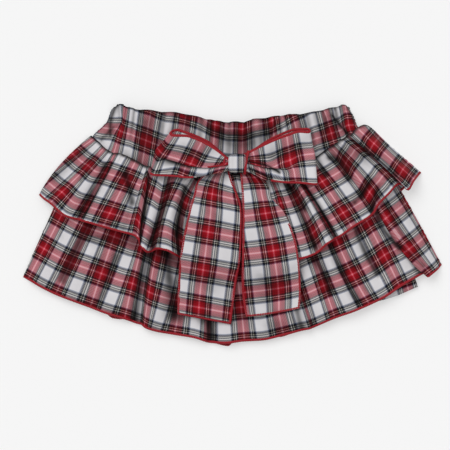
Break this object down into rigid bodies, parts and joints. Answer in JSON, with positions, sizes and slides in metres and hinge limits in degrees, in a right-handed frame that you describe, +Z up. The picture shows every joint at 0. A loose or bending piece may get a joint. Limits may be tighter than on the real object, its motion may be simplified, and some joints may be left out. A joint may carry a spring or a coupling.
{
  "type": "skort",
  "caption": "Toddler's tartan cotton skort laid flat, with an elasticated waist, gathered ruffles with overlocked hems, shorts inside and a large bow on the front.",
  "frame": {"origin": "centre of the laid-out garment's box, on the surface that it lies on", "axes": "+Z up from that surface to the garment's front, +Y from the hems to the waist, +X across towards the wearer's left"},
  "size_m": [0.3772, 0.2171, 0.0283],
  "materials": {
    "tartan_body": "matt twill cotton, red, white and black tartan",
    "tartan_upper_ruffle": "matt twill cotton, red, white and black tartan",
    "tartan_lower_ruffle": "matt twill cotton, red, white and black tartan",
    "tartan_shorts": "matt twill cotton, red, white and black tartan",
    "tartan_bow": "matt twill cotton, red, white and black tartan",
    "overlock_thread": "close red overlock stitching with a slight thread sheen"
  },
  "bodies": {
    "root": {"upper_ruffle_back": "tartan_upper_ruffle", "lower_ruffle_back": "tartan_lower_ruffle", "body_back": "tartan_body", "shorts_back": "tartan_shorts", "shorts_front": "tartan_shorts", "body_front": "tartan_body", "lower_ruffle_front": "tartan_lower_ruffle", "upper_ruffle_front": "tartan_upper_ruffle", "bow_tail_left": "tartan_bow", "bow_tail_right": "tartan_bow", "bow_loop_left": "tartan_bow", "bow_loop_right": "tartan_bow", "bow_knot": "tartan_bow"}
  },
  "joints": []
}
